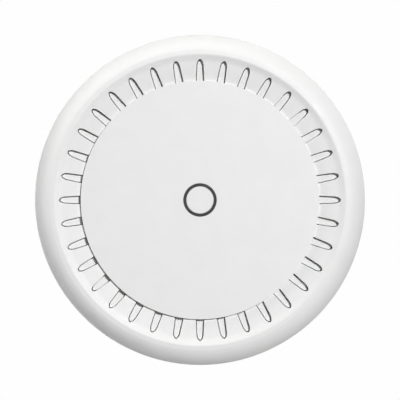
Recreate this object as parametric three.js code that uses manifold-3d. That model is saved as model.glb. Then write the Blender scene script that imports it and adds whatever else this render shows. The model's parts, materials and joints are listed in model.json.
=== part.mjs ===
// Ceiling access point: a round, vented wireless access point on a twist-lock ceiling plate.
//
// Units are millimetres. The origin is the centre of the ceiling plate's flat face, the face that is
// screwed to the ceiling. +Z points up into the ceiling, so the unit hangs below z = 0 and its front
// looks down along -Z. The cable opening and the network sockets lie on the +Y side.

import * as THREE from 'three';
import { mergeVertices } from 'three/addons/utils/BufferGeometryUtils.js';
import Module from 'manifold-3d';

const wasm = await Module();
wasm.setup();

// ---------------------------------------------------------------- driving dimensions

const OUTER_RADIUS = 95.5;          // widest radius of the housing
const DEPTH = 42;                   // ceiling to the crest of the front rim
const GAP = 0.3;                    // clearance between pieces that touch
const WALL = 2;                     // moulded wall thickness
const ROUND = 72;                   // facets around the large turned pieces
const ROUND_INSIDE = 48;            // facets around turned pieces that are hidden inside

// Front cover: a raised rim, a dished band with radial slots, and a flat seat for the centre disc.
const EQUATOR_Z = -31.5;            // height of the widest ring
const DISH_Z = -38.2;               // flat inner part of the dish
const DISH_EDGE_RADIUS = 68.5;      // where the dish starts to rise towards the rim
const SEAT_Z = DISH_Z + 0.5;        // sunken seat of the centre disc
const DISC_RADIUS = 68.4;
const DISC_FACE_Z = -40.1;
const DISC_BODY_RADIUS = 63.8;      // thicker part of the disc, let into the cover
const COVE = { radius: 80, z: -40.14 };         // foot of the steeper step up to the crest
const CREST = { radius: 83.75, round: 2, start: 240, end: 277.5 };
const SHOULDER = { radius: 86, z: -41.72 };     // where the flank starts to fall away
const FLANK_PULL = { radius: 91.1, z: -39.9 };  // bends the flank as it leaves the shoulder
const SLOT_COUNT = 36;
const SLOT_START_RADIUS = 66;
const SLOT_HALF_WIDTH = 2.5;        // at the hidden inner end
const SLOT_END_RADIUS = 80.8;
const SLOT_END_LENGTH = 4.4;        // the outer end is half an ellipse, this long
const SLOT_END_HALF_WIDTH = 2.04;

// Vent baffle: a ring behind the slots, with a tongue standing in each slot.
const BAFFLE = { inner: 61, step: 65.9, outer: 84, z: -34.9, seatZ: -35.4, thickness: 1.1 };
const TONGUE_DEPTH = 1.75;          // from the dish's face up to the tongue, at the slot's inner end
const TONGUE_SLOPE = -0.12;         // the tongue's face falls a little less than the dish does
const TONGUE_GAP = 0.4;

// Seam between the covers.
const SEAM_Z = -18.5;
const SEAM_RADIUS = 95.1;
const SEAM_TONGUE = { thickness: 1.4, height: 2.5, root: 2.4, foot: 4 };

// Light ring and mode button in the middle of the disc.
const RING_OUTER = 9.5;
const RING_INNER = 7.87;
const RING_BORE = 8.6;              // wider bore behind the button's stop
const RING_SHOULDER_Z = -36.8;
const BUTTON_TRAVEL = 0.6;
const RING_FLANGE = { radius: 12.5, low: -35.4, high: -34.2 };
const RING_TUBE = { radius: 10.6, top: -25.8 };     // the light guide's tube, up to the status lamps
const BUTTON_BACK_Z = -35.3;
const BUTTON_STEM_RADIUS = 2.5;

// Rear cover and ceiling plate.
const BACK_Z = -1.5;
const BACK_FLAT_RADIUS = 80.5;
const RECESS_RADIUS = 64.5;
const RECESS_Z = -6.5;
const PLATE_RADIUS = 62;
const PLATE_THICKNESS = 2.5;
const PLATE_SKIRT_Z = -5;
const HOOK_ANGLES = [30, 150, 270];
const HOOK_INNER = 48;
const STEM_OUTER = 51.2;
const LUG_OUTER = 55;
const HOOK_HALF_ANGLE = 4;
const LUG_THICKNESS = 1.8;
const TWIST_ANGLE = 12;             // from locked to free of the hooks
const KEYHOLE_SPARE = 0.6;          // clearance round a hook, in millimetres and in degrees
const PLATE_WALL = 2;
const PLATE_RIB = { inner: 14, outer: 16, depth: 1.5 };
const BOX_SCREW_SPACING = 83.3;     // two-screw spacing of a single-gang box
const BOX_SCREW_SLOT = { length: 9, width: 4.4 };
const ROUND_HOLES = { radius: 2.25, places: [[26, -28], [34, 38]] };    // mirrored to the -X side
const CABLE_HOLE = { x: 18, low: 20, high: 52 };

// Port bay, a pocket in the rear cover that opens towards the ceiling.
const BAY = { x: 24, low: 18, high: 58, floor: -20.4, wall: 1.8 };
const BAY_UNDERSIDE = -21.8;

// Circuit board and what stands on it.
const BOARD_FRONT = -24;
const BOARD_BACK = -22.4;
const BOARD_RADIUS = 71.5;
const ON_BACK = BOARD_BACK + GAP;   // first height of parts on the back face
const ON_FRONT = BOARD_FRONT - GAP; // first height of parts on the front face
const SPREADER_LOW = -17;
const SPREADER_HIGH = -15.2;
const SPREADER_RADIUS = 66;
const FOOT_RADIUS = 4;
const PROCESSOR = { x: 0, y: -32, size: 19, height: 1.8 };
const MEMORY_PLACES = [{ x: 20, y: -27 }, { x: 20, y: -42 }];
const RADIO_PLACES = [{ x: -45, y: -4 }, { x: 45, y: -4 }];
const CAPACITOR_PLACES = [{ x: -23, y: -2 }, { x: 23, y: -2 }];
const JACK_X = [-8.8, 8.8];
const JACK_MOUTH_Y = 18.4;
const JACK_HALF_WIDTH = 8.1;
const JACK_TOP = -8.9;
const PLUG_NOTCH = 2;               // the bay's floor stops this far in front of the sockets
const RESET = { x: 21.5, z: -18, hole: 1.6, pin: 1.3, flange: 2.2, flangeY: 14.7 };
const RESET_TRAVEL = 0.4;

// Screws.
const CASE_SCREW_RADIUS = 76;
const CASE_SCREW_ANGLES = [45, 135, 225, 315];
const CASE_SEAT_Z = -9.5;
const CASE_POST = { radius: 3.6, bore: 1.75, foot: -38.6, boreEnd: -30, top: -12 };
const CASE_SEAT = { post: 4.4, head: 3.1, shank: 1.8 };
const BOARD_POST = { radius: 3.5, bore: 1.5 };
const BOARD_SCREW_RADIUS = 56;
const BOARD_SCREW_ANGLES = [20, 160, 230, 310];

const LED = { radius: 9.2, half: 0.8, low: -25.3, angles: [45, 135, 225, 315] };   // under the ring's tube
const ANTENNA_ANGLES = [0, 90, 180, 270];
const ANTENNA = {
  radius: 60, halfWidth: 5, halfLength: 14, low: -33.5, sheet: 0.5, legs: [[-13.5, -10.5], [-7, -4.5]],
};

// ---------------------------------------------------------------- materials

const MATERIALS = {
  whitePlastic: { color: 0xe9e9e8, roughness: 0.5, metalness: 0 },
  greyPlastic: { color: 0xd8d9da, roughness: 0.6, metalness: 0 },
  smokedPlastic: { color: 0x3c3c3d, roughness: 0.3, metalness: 0 },
  blackPlastic: { color: 0x1b1b1c, roughness: 0.55, metalness: 0 },
  circuitBoard: { color: 0x1d4a33, roughness: 0.5, metalness: 0 },
  chipPackage: { color: 0x242426, roughness: 0.6, metalness: 0 },
  thermalPad: { color: 0x8fa3b5, roughness: 0.9, metalness: 0 },
  aluminium: { color: 0xb9bcc0, roughness: 0.4, metalness: 1 },
  tinPlate: { color: 0xc4c6c8, roughness: 0.3, metalness: 1 },
  gold: { color: 0xcfa34a, roughness: 0.3, metalness: 1 },
  steel: { color: 0x8e9094, roughness: 0.4, metalness: 1 },
  ledLens: { color: 0xf2efe2, roughness: 0.3, metalness: 0 },
  cableJacket: { color: 0x2b2b2d, roughness: 0.6, metalness: 0 },
};

const group = new THREE.Group();

function addPart(name, solid, materialName) {
  const mesh = new THREE.Mesh(toGeometry(solid), new THREE.MeshStandardMaterial(MATERIALS[materialName]));
  mesh.name = name;
  group.add(mesh);
}

// ---------------------------------------------------------------- solids from geometry

function signedVolume(position, index) {
  const a = new THREE.Vector3();
  const b = new THREE.Vector3();
  const c = new THREE.Vector3();
  let volume = 0;
  for (let i = 0; i < index.length; i += 3) {
    a.fromBufferAttribute(position, index[i]);
    b.fromBufferAttribute(position, index[i + 1]);
    c.fromBufferAttribute(position, index[i + 2]);
    volume += a.dot(b.cross(c)) / 6;
  }
  return volume;
}

// A closed geometry as a solid: corners merged, zero-area triangles dropped, faces pointing out.
function toSolid(geometry) {
  const open = geometry.clone();
  open.deleteAttribute('normal');
  open.deleteAttribute('uv');
  const merged = mergeVertices(open, 1e-4);
  const position = merged.getAttribute('position');
  const source = merged.getIndex().array;
  const index = [];
  for (let i = 0; i < source.length; i += 3) {
    const [a, b, c] = [source[i], source[i + 1], source[i + 2]];
    if (a !== b && b !== c && c !== a) {
      index.push(a, b, c);
    }
  }
  if (signedVolume(position, index) < 0) {
    index.reverse();
  }
  return new wasm.Manifold(new wasm.Mesh({
    numProp: 3,
    vertProperties: new Float32Array(position.array),
    triVerts: new Uint32Array(index),
  }));
}

function toGeometry(solid) {
  const { vertProperties, triVerts } = solid.getMesh();
  const geometry = new THREE.BufferGeometry();
  geometry.setAttribute('position', new THREE.BufferAttribute(vertProperties, 3));
  geometry.setIndex(new THREE.BufferAttribute(triVerts, 1));
  geometry.computeVertexNormals();
  return geometry;
}

// ---------------------------------------------------------------- shape helpers

const radians = THREE.MathUtils.degToRad;

function polar(radius, degrees) {
  return new THREE.Vector2(radius * Math.cos(radians(degrees)), radius * Math.sin(radians(degrees)));
}

// A solid of revolution about Z from an outline of [radius, z] points.
function turned(outline, segments = ROUND) {
  const points = outline.map(([radius, z]) => new THREE.Vector2(radius, z));
  if (points[0].x > 0) {
    points.push(points[0].clone());
  }
  return toSolid(new THREE.LatheGeometry(points, segments).rotateX(Math.PI / 2));
}

function block(x0, x1, y0, y1, z0, z1) {
  const geometry = new THREE.BoxGeometry(x1 - x0, y1 - y0, z1 - z0);
  return toSolid(geometry.translate((x0 + x1) / 2, (y0 + y1) / 2, (z0 + z1) / 2));
}

// A round bar along Z, from z0 up to z1.
function barZ(x, y, radius, z0, z1, segments = 12) {
  const geometry = new THREE.CylinderGeometry(radius, radius, z1 - z0, segments).rotateX(Math.PI / 2);
  return toSolid(geometry.translate(x, y, (z0 + z1) / 2));
}

// A round bar along Y, from y0 to y1.
function barY(x, z, radius, y0, y1, segments = 12) {
  const geometry = new THREE.CylinderGeometry(radius, radius, y1 - y0, segments);
  return toSolid(geometry.translate(x, (y0 + y1) / 2, z));
}

// A flat shape in the XY plane given depth along Z.
function plate(shape, z0, z1, curveSegments = 8) {
  const geometry = new THREE.ExtrudeGeometry(shape, { depth: z1 - z0, bevelEnabled: false, curveSegments });
  return toSolid(geometry.translate(0, 0, z0));
}

// Part of a ring between two radii and two angles in degrees.
function ringSector(inner, outer, startAngle, endAngle, z0, z1) {
  const shape = new THREE.Shape();
  shape.absarc(0, 0, outer, radians(startAngle), radians(endAngle), false);
  shape.absarc(0, 0, inner, radians(endAngle), radians(startAngle), true);
  shape.closePath();
  return plate(shape, z0, z1, 6);
}

// A slot with round ends, centred on x, y and running along X.
function roundSlot(x, y, length, width, z0, z1) {
  const straight = (length - width) / 2;
  const shape = new THREE.Shape();
  shape.absarc(x + straight, y, width / 2, -Math.PI / 2, Math.PI / 2, false);
  shape.absarc(x - straight, y, width / 2, Math.PI / 2, Math.PI * 1.5, false);
  shape.closePath();
  return plate(shape, z0, z1, 6);
}

function roundedRectangle(x0, x1, y0, y1, radius) {
  const shape = new THREE.Shape();
  shape.absarc(x1 - radius, y1 - radius, radius, 0, Math.PI / 2, false);
  shape.absarc(x0 + radius, y1 - radius, radius, Math.PI / 2, Math.PI, false);
  shape.absarc(x0 + radius, y0 + radius, radius, Math.PI, Math.PI * 1.5, false);
  shape.absarc(x1 - radius, y0 + radius, radius, Math.PI * 1.5, Math.PI * 2, false);
  shape.closePath();
  return shape;
}

// The line at a distance to the left of a row of points, seen along it.
function offsetLine(points, distance) {
  return points.map((point, i) => {
    const before = points[Math.max(i - 1, 0)];
    const after = points[Math.min(i + 1, points.length - 1)];
    const along = after.clone().sub(before).normalize();
    return new THREE.Vector2(point.x - along.y * distance, point.y + along.x * distance);
  });
}

const asPairs = (points) => points.map((point) => [point.x, point.y]);

function turnAboutZ(solid, degrees) {
  return toSolid(toGeometry(solid).rotateZ(radians(degrees)));
}

// ---------------------------------------------------------------- front cover, disc and baffle

// The visible face from the disc's edge, up the dish, over the crest and round to the widest ring.
function facePoints() {
  const { radius, round, start, end } = CREST;
  const face = new THREE.Path();
  face.moveTo(DISH_EDGE_RADIUS, DISH_Z);
  face.lineTo(COVE.radius, COVE.z);
  face.absarc(radius, round - DEPTH, round, radians(start), radians(end), false);
  face.lineTo(SHOULDER.radius, SHOULDER.z);
  face.bezierCurveTo(FLANK_PULL.radius, FLANK_PULL.z, OUTER_RADIUS, EQUATOR_Z - 0.5, OUTER_RADIUS, EQUATOR_Z);
  return face.getPoints(3);
}

// One vent slot's outline, drawn in by an inset: straight inner end under the disc, tapered sides.
function slotShape(inset) {
  const centre = SLOT_END_RADIUS - SLOT_END_LENGTH;
  const half = SLOT_HALF_WIDTH - inset;
  const endLength = SLOT_END_LENGTH - inset;
  const endHalf = SLOT_END_HALF_WIDTH - inset;
  const shape = new THREE.Shape();
  shape.moveTo(SLOT_START_RADIUS + inset, -half);
  shape.lineTo(centre, -endHalf);
  shape.absellipse(centre, 0, endLength, endHalf, -Math.PI / 2, Math.PI / 2);
  shape.lineTo(SLOT_START_RADIUS + inset, half);
  shape.closePath();
  return shape;
}

function frontCover() {
  const floorTop = SEAT_Z + WALL;
  const holeRadius = RING_OUTER + GAP;
  const tongueOuter = SEAM_RADIUS - WALL - 2 * GAP;
  const tongueInner = tongueOuter - SEAM_TONGUE.thickness;
  const seam = SEAM_Z - GAP;
  const seatEdge = DISC_BODY_RADIUS + GAP + WALL;
  const face = facePoints();
  const inside = offsetLine(face, WALL).reverse();
  let cover = turned([
    [holeRadius, SEAT_Z], [DISC_BODY_RADIUS + GAP, SEAT_Z], [DISC_BODY_RADIUS + GAP, DISH_Z],
    ...asPairs(face),
    [SEAM_RADIUS, seam], [tongueOuter, seam], [tongueOuter, seam + SEAM_TONGUE.height],
    [tongueInner, seam + SEAM_TONGUE.height], [tongueInner, seam - SEAM_TONGUE.root],
    [SEAM_RADIUS - WALL, seam - SEAM_TONGUE.foot],
    ...asPairs(inside),
    [seatEdge, DISH_Z + WALL], [seatEdge, floorTop], [holeRadius, floorTop],
  ]);
  for (const angle of CASE_SCREW_ANGLES) {
    const { x, y } = polar(CASE_SCREW_RADIUS, angle);
    cover = cover.add(barZ(x, y, CASE_POST.radius, CASE_POST.foot, CASE_POST.top));
    cover = cover.subtract(barZ(x, y, CASE_POST.bore, CASE_POST.boreEnd, CASE_POST.top + 1));
  }
  for (const angle of BOARD_SCREW_ANGLES) {
    const { x, y } = polar(BOARD_SCREW_RADIUS, angle);
    cover = cover.add(barZ(x, y, BOARD_POST.radius, floorTop - 1, ON_FRONT));
    cover = cover.subtract(barZ(x, y, BOARD_POST.bore, floorTop + 2, ON_FRONT + 1));
  }
  const slot = plate(slotShape(0), -DEPTH - 1, DISH_Z + WALL + 1, 3);
  for (let i = 0; i < SLOT_COUNT; i += 1) {
    cover = cover.subtract(turnAboutZ(slot, (i * 360) / SLOT_COUNT));
  }
  return cover;
}

function centreDisc() {
  const holeRadius = RING_OUTER + GAP;
  const flangeTop = DISH_Z - GAP;
  const bodyTop = SEAT_Z - GAP;
  return turned([
    [holeRadius, bodyTop], [holeRadius, DISC_FACE_Z], [DISC_RADIUS - 0.25, DISC_FACE_Z],
    [DISC_RADIUS, DISC_FACE_Z + 0.25], [DISC_RADIUS, flangeTop], [DISC_BODY_RADIUS, flangeTop],
    [DISC_BODY_RADIUS, bodyTop],
  ]);
}

// All the space above the level of the tongues' faces, which slope almost like the dish.
function tongueRoom() {
  const { outer, z } = BAFFLE;
  const inner = SLOT_START_RADIUS - 1;
  const level = (radius) => DISH_Z + TONGUE_DEPTH + TONGUE_SLOPE * (radius - DISH_EDGE_RADIUS);
  const outline = [[inner, level(inner)], [outer, level(outer)], [outer, z + 1], [inner, z + 1]];
  return turnAboutZ(turned(outline, SLOT_COUNT), 180 / SLOT_COUNT);
}

// The ring behind the slots that keeps dust and fingers off the board, with a tongue in each slot.
function ventBaffle() {
  const { inner, step, outer, z, seatZ, thickness } = BAFFLE;
  let baffle = turned([
    [inner, seatZ], [step, seatZ], [step, z], [outer, z], [outer, z + thickness], [step - 1, z + thickness],
    [step - 1, seatZ + 1], [inner, seatZ + 1],
  ], ROUND_INSIDE);
  const room = tongueRoom();
  const tongue = plate(slotShape(TONGUE_GAP), -DEPTH, z + 0.7, 3);
  for (let i = 0; i < SLOT_COUNT; i += 1) {
    baffle = baffle.add(turnAboutZ(tongue, (i * 360) / SLOT_COUNT).intersect(room));
  }
  for (const angle of CASE_SCREW_ANGLES) {
    const { x, y } = polar(CASE_SCREW_RADIUS, angle);
    baffle = baffle.subtract(barZ(x, y, CASE_POST.radius + GAP, z - 3, z + 3));
  }
  return baffle;
}

// ---------------------------------------------------------------- light ring and mode button

function lightRing() {
  return turned([
    [RING_INNER, DISC_FACE_Z], [RING_OUTER, DISC_FACE_Z], [RING_OUTER, RING_FLANGE.low],
    [RING_FLANGE.radius, RING_FLANGE.low], [RING_FLANGE.radius, RING_FLANGE.high],
    [RING_TUBE.radius, RING_FLANGE.high], [RING_TUBE.radius, RING_TUBE.top], [RING_BORE, RING_TUBE.top],
    [RING_BORE, RING_SHOULDER_Z], [RING_INNER, RING_SHOULDER_Z],
  ], 36);
}

const SWITCH_FACE_Z = -27.8;
const PLUNGER_END_Z = -29.5;
const SWITCH_POCKET_DEPTH = 1.7;
const SWITCH_POCKET_RADIUS = 2;
const SWITCH_HALF_WIDTH = 3;

// The cap fills the ring; its flange stops on the ring's shoulder and its stem meets the switch.
function modeButton() {
  const cap = RING_INNER - GAP;
  const flange = RING_BORE - GAP;
  return turned([
    [0, DISC_FACE_Z], [cap - 0.3, DISC_FACE_Z], [cap, DISC_FACE_Z + 0.3], [cap, RING_SHOULDER_Z + GAP],
    [flange, RING_SHOULDER_Z + GAP], [flange, BUTTON_BACK_Z], [BUTTON_STEM_RADIUS, BUTTON_BACK_Z],
    [BUTTON_STEM_RADIUS, PLUNGER_END_Z - GAP], [0, PLUNGER_END_Z - GAP],
  ], 36);
}

function modeSwitchBody() {
  const half = SWITCH_HALF_WIDTH;
  const body = block(-half, half, -half, half, SWITCH_FACE_Z, ON_FRONT);
  const pocketEnd = SWITCH_FACE_Z + SWITCH_POCKET_DEPTH;
  return body.subtract(barZ(0, 0, SWITCH_POCKET_RADIUS, SWITCH_FACE_Z - 1, pocketEnd));
}

function modeSwitchPlunger() {
  const depth = SWITCH_POCKET_DEPTH - GAP - BUTTON_TRAVEL;
  return barZ(0, 0, SWITCH_POCKET_RADIUS - GAP, PLUNGER_END_Z, SWITCH_FACE_Z + depth);
}

// ---------------------------------------------------------------- rear cover

function rearShell() {
  const side = new THREE.Path();
  side.moveTo(BACK_FLAT_RADIUS, BACK_Z);
  side.bezierCurveTo(88.5, BACK_Z, SEAM_RADIUS, -8.5, SEAM_RADIUS, SEAM_Z);
  const outside = side.getPoints(5);
  const inside = offsetLine(outside, -WALL).reverse();
  return turned([
    [0, RECESS_Z], [RECESS_RADIUS, RECESS_Z], [RECESS_RADIUS, BACK_Z - 0.5],
    [RECESS_RADIUS + 0.5, BACK_Z],
    ...asPairs(outside), ...asPairs(inside),
    [RECESS_RADIUS + WALL, BACK_Z - WALL], [RECESS_RADIUS + WALL, RECESS_Z - WALL], [0, RECESS_Z - WALL],
  ]);
}

// A window that passes a hook's lug, and the narrow slot that the stem then turns along.
function keyhole(hookAngle) {
  const low = RECESS_Z - WALL - 1;
  const high = RECESS_Z + 1;
  const entry = hookAngle - TWIST_ANGLE;
  const inner = HOOK_INNER - KEYHOLE_SPARE;
  const outer = LUG_OUTER + KEYHOLE_SPARE;
  const halfWidth = HOOK_HALF_ANGLE + KEYHOLE_SPARE;
  const window = ringSector(inner, outer, entry - halfWidth, entry + halfWidth, low, high);
  const slot = ringSector(inner, STEM_OUTER + 0.5, entry - halfWidth, hookAngle + halfWidth, low, high);
  return window.add(slot);
}

function rearCover() {
  let cover = rearShell();
  const { x, low, high, floor, wall } = BAY;
  cover = cover.add(block(-x - wall, x + wall, low - wall, high + wall, BAY_UNDERSIDE, RECESS_Z - 1));
  for (const angle of CASE_SCREW_ANGLES) {
    const post = polar(CASE_SCREW_RADIUS, angle);
    cover = cover.add(barZ(post.x, post.y, CASE_SEAT.post, CASE_POST.top + GAP, BACK_Z - 1));
    cover = cover.subtract(barZ(post.x, post.y, CASE_SEAT.head, CASE_SEAT_Z, 1));
    cover = cover.subtract(barZ(post.x, post.y, CASE_SEAT.shank, CASE_POST.top - 1, 1));
  }
  cover = cover.subtract(plate(roundedRectangle(-x, x, low, high, 3), floor, RECESS_Z + 1, 4));
  const jackEdge = JACK_X[1] + JACK_HALF_WIDTH + GAP;
  cover = cover.subtract(block(-jackEdge, jackEdge, low - wall - 1, JACK_MOUTH_Y + PLUG_NOTCH, -23,
    JACK_TOP + GAP));
  cover = cover.subtract(barY(RESET.x, RESET.z, RESET.hole, low - wall - 1, low + 1));
  for (const angle of HOOK_ANGLES) {
    cover = cover.subtract(keyhole(angle));
  }
  return cover;
}

// ---------------------------------------------------------------- ceiling plate

// A hook: a stem that hangs from the plate and a lug that reaches out under the rear cover's floor.
function plateHook(angle) {
  const start = angle - HOOK_HALF_ANGLE;
  const end = angle + HOOK_HALF_ANGLE;
  const lugHigh = RECESS_Z - WALL - GAP;
  const lugLow = lugHigh - LUG_THICKNESS;
  const stem = ringSector(HOOK_INNER, STEM_OUTER, start, end, lugLow, -PLATE_THICKNESS + 0.5);
  return stem.add(ringSector(STEM_OUTER - 0.5, LUG_OUTER, start, end, lugLow, lugHigh));
}

function ceilingPlate() {
  const skirtInner = PLATE_RADIUS - PLATE_WALL;
  const ribFoot = -PLATE_THICKNESS - PLATE_RIB.depth;
  let mount = turned([
    [0, 0], [PLATE_RADIUS - 0.6, 0], [PLATE_RADIUS, -0.6], [PLATE_RADIUS, PLATE_SKIRT_Z],
    [skirtInner, PLATE_SKIRT_Z], [skirtInner, -PLATE_THICKNESS], [PLATE_RIB.outer, -PLATE_THICKNESS],
    [PLATE_RIB.outer, ribFoot], [PLATE_RIB.inner, ribFoot], [PLATE_RIB.inner, -PLATE_THICKNESS],
    [0, -PLATE_THICKNESS],
  ]);
  const { x, low, high } = CABLE_HOLE;
  mount = mount.subtract(plate(roundedRectangle(-x, x, low, high, 4), -10, 1, 4));
  for (const side of [-1, 1]) {
    const { length, width } = BOX_SCREW_SLOT;
    mount = mount.subtract(roundSlot((side * BOX_SCREW_SPACING) / 2, 0, length, width, -10, 1));
    for (const [holeX, holeY] of ROUND_HOLES.places) {
      mount = mount.subtract(barZ(side * holeX, holeY, ROUND_HOLES.radius, -10, 1));
    }
  }
  for (const angle of HOOK_ANGLES) {
    mount = mount.add(plateHook(angle));
  }
  return mount;
}

// ---------------------------------------------------------------- board, chips and cooling

function mainBoard() {
  let board = barZ(0, 0, BOARD_RADIUS, BOARD_FRONT, BOARD_BACK, ROUND_INSIDE);
  for (const angle of BOARD_SCREW_ANGLES) {
    const { x, y } = polar(BOARD_SCREW_RADIUS, angle);
    board = board.subtract(barZ(x, y, BOARD_POST.bore, BOARD_FRONT - 1, BOARD_BACK + 1));
  }
  return board;
}

// A pressed aluminium plate with four feet, cut away around the sockets and the port bay.
function heatSpreader() {
  let spreader = barZ(0, 0, SPREADER_RADIUS, SPREADER_LOW, SPREADER_HIGH, ROUND_INSIDE);
  spreader = spreader.subtract(block(-28, 28, -8, 70, -20, -10));
  for (const angle of BOARD_SCREW_ANGLES) {
    const { x, y } = polar(BOARD_SCREW_RADIUS, angle);
    spreader = spreader.add(barZ(x, y, FOOT_RADIUS, ON_BACK, SPREADER_LOW + 0.5));
    spreader = spreader.subtract(barZ(x, y, BOARD_POST.bore, ON_BACK - 1, SPREADER_HIGH + 1));
  }
  return spreader;
}

function chip(x, y, width, length, height) {
  const [halfX, halfY] = [width / 2, length / 2];
  const outline = roundedRectangle(x - halfX, x + halfX, y - halfY, y + halfY, 0.5);
  return plate(outline, ON_BACK, ON_BACK + height, 2);
}

const SHIELD = { halfX: 13, halfY: 11, top: -19.4, wall: 0.4 };

// A pressed lid over a radio chip, open towards the board.
function shieldCan(x, y) {
  const { halfX, halfY, top, wall } = SHIELD;
  const can = block(x - halfX, x + halfX, y - halfY, y + halfY, ON_BACK, top);
  const [inX, inY] = [halfX - wall, halfY - wall];
  return can.subtract(block(x - inX, x + inX, y - inY, y + inY, ON_BACK - 1, top - wall));
}

function thermalPad(x, y, size, low) {
  return block(x - size / 2, x + size / 2, y - size / 2, y + size / 2, low, SPREADER_LOW - GAP);
}

// An aluminium can with the crimped groove near its foot.
function capacitor(x, y) {
  const radius = 3.15;
  const top = -14.1;
  return turned([
    [0, ON_BACK], [radius, ON_BACK], [radius, ON_BACK + 0.9], [radius - 0.25, ON_BACK + 1.2],
    [radius, ON_BACK + 1.5], [radius, top - 0.3], [radius - 0.35, top], [0, top],
  ], 16).translate([x, y, 0]);
}

// ---------------------------------------------------------------- network sockets

const JACK_BACK_Y = -3.1;
const SHELL_WALL = 0.4;
const SOCKET_FLOOR = -19.9;
const SOCKET_BACK_Y = 4;
const SOCKET_HALF_WIDTH = 5.9;
const SOCKET_TOP = -13.2;
const LATCH_STEPS = [{ half: 3.1, top: -11.7 }, { half: 1.7, top: -10.8 }];

function jackShell(x) {
  const shell = block(x - JACK_HALF_WIDTH, x + JACK_HALF_WIDTH, JACK_BACK_Y, JACK_MOUTH_Y, ON_BACK, JACK_TOP);
  const inside = JACK_HALF_WIDTH - SHELL_WALL;
  return shell.subtract(block(x - inside, x + inside, JACK_BACK_Y + SHELL_WALL, JACK_MOUTH_Y + 1,
    ON_BACK - 1, JACK_TOP - SHELL_WALL));
}

// The moulded insert, with a socket for an eight-way modular plug and its latch.
function jackBody(x) {
  const inset = SHELL_WALL + GAP;
  const half = JACK_HALF_WIDTH - inset;
  const mouth = JACK_MOUTH_Y - 0.2;
  let body = block(x - half, x + half, JACK_BACK_Y + inset, mouth, ON_BACK, JACK_TOP - inset);
  const steps = [{ half: SOCKET_HALF_WIDTH, top: SOCKET_TOP }, ...LATCH_STEPS];
  for (const { half: stepHalf, top } of steps) {
    body = body.subtract(block(x - stepHalf, x + stepHalf, SOCKET_BACK_Y, mouth + 1, SOCKET_FLOOR, top));
  }
  return body;
}

// Eight sprung wires that rise from a carrier bar on the socket's floor.
function jackContacts(x) {
  const low = SOCKET_FLOOR + GAP;
  const [count, pitch, thickness] = [8, 1.02, 0.4];
  const firstX = x - (pitch * (count - 1)) / 2 - thickness / 2;
  let comb = block(x - 4.4, x + 4.4, SOCKET_BACK_Y + GAP, SOCKET_BACK_Y + 1.3, low, low + 0.7);
  const profile = new THREE.Shape();
  profile.moveTo(SOCKET_BACK_Y + 1, low);
  profile.lineTo(7, low);
  profile.lineTo(13.5, low + 0.9);
  profile.lineTo(13.5, low + 1.3);
  profile.lineTo(7, low + 0.4);
  profile.lineTo(SOCKET_BACK_Y + 1, low + 0.4);
  profile.closePath();
  const wire = new THREE.ExtrudeGeometry(profile, { depth: thickness, bevelEnabled: false });
  wire.rotateX(Math.PI / 2);
  wire.rotateZ(Math.PI / 2);
  for (let i = 0; i < count; i += 1) {
    comb = comb.add(toSolid(wire.clone().translate(firstX + i * pitch, 0, 0)));
  }
  return comb;
}

// ---------------------------------------------------------------- reset button

const RESET_SWITCH_Y = 12.5;
const RESET_PLUNGER_Y = 13.4;
const RESET_POCKET_DEPTH = 1.4;

function resetButton() {
  const flange = barY(RESET.x, RESET.z, RESET.flange, RESET.flangeY, BAY.low - BAY.wall - GAP);
  return flange.add(barY(RESET.x, RESET.z, RESET.pin, RESET_PLUNGER_Y + GAP, BAY.low - 0.4));
}

function resetSwitchBody() {
  const half = SWITCH_HALF_WIDTH;
  const body = block(RESET.x - half, RESET.x + half, 7, RESET_SWITCH_Y, ON_BACK, -14.6);
  const pocketEnd = RESET_SWITCH_Y - RESET_POCKET_DEPTH;
  return body.subtract(barY(RESET.x, RESET.z, RESET.pin + GAP, pocketEnd, RESET_SWITCH_Y + 1));
}

function resetSwitchPlunger() {
  const back = RESET_SWITCH_Y - RESET_POCKET_DEPTH + GAP + RESET_TRAVEL;
  return barY(RESET.x, RESET.z, RESET.pin, back, RESET_PLUNGER_Y);
}

// ---------------------------------------------------------------- antennas and their leads

// A stamped antenna: a raised plate on two legs, above the front face of the board.
function antenna(angle) {
  const { halfWidth, halfLength, low, sheet } = ANTENNA;
  const [inner, outer] = [ANTENNA.radius - halfWidth, ANTENNA.radius + halfWidth];
  let metal = block(inner, outer, -halfLength, halfLength, low, low + sheet);
  metal = metal.subtract(block(inner + 3, outer - 2.5, 4 - halfLength, halfLength + 1, low - 1, low + 1));
  for (const [legStart, legEnd] of ANTENNA.legs) {
    metal = metal.add(block(inner, inner + sheet, legStart, legEnd, low, ON_FRONT));
  }
  return turnAboutZ(metal, angle);
}

const LEAD_Z = -25.3;
const LEAD_RADIUS = 0.57;
const LEAD_START = { x: 30, y: 6 };   // where the lead's plug sits, before turning by the antenna's angle
const PLUG = { radius: 1.8, low: -26.2 };

// The coaxial lead from the radio's socket to the antenna's foot, lying along the board.
function antennaLead(angle) {
  const route = new THREE.CatmullRomCurve3([
    new THREE.Vector3(LEAD_START.x + PLUG.radius + GAP, LEAD_START.y, LEAD_Z),
    new THREE.Vector3(36, 6, LEAD_Z),
    new THREE.Vector3(42, 2.5, LEAD_Z),
    new THREE.Vector3(47, -4, LEAD_Z),
    new THREE.Vector3(54.4, -5.7, LEAD_Z),
  ]);
  const section = new THREE.Shape();
  section.absarc(0, 0, LEAD_RADIUS, 0, Math.PI * 2, false);
  const tube = new THREE.ExtrudeGeometry(section, { steps: 9, curveSegments: 4, extrudePath: route });
  return toSolid(tube.rotateZ(radians(angle)));
}

function leadPlug(angle) {
  const centre = new THREE.Vector2();
  const { x, y } = new THREE.Vector2(LEAD_START.x, LEAD_START.y).rotateAround(centre, radians(angle));
  return barZ(x, y, PLUG.radius, PLUG.low, ON_FRONT);
}

// ---------------------------------------------------------------- screws

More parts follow.
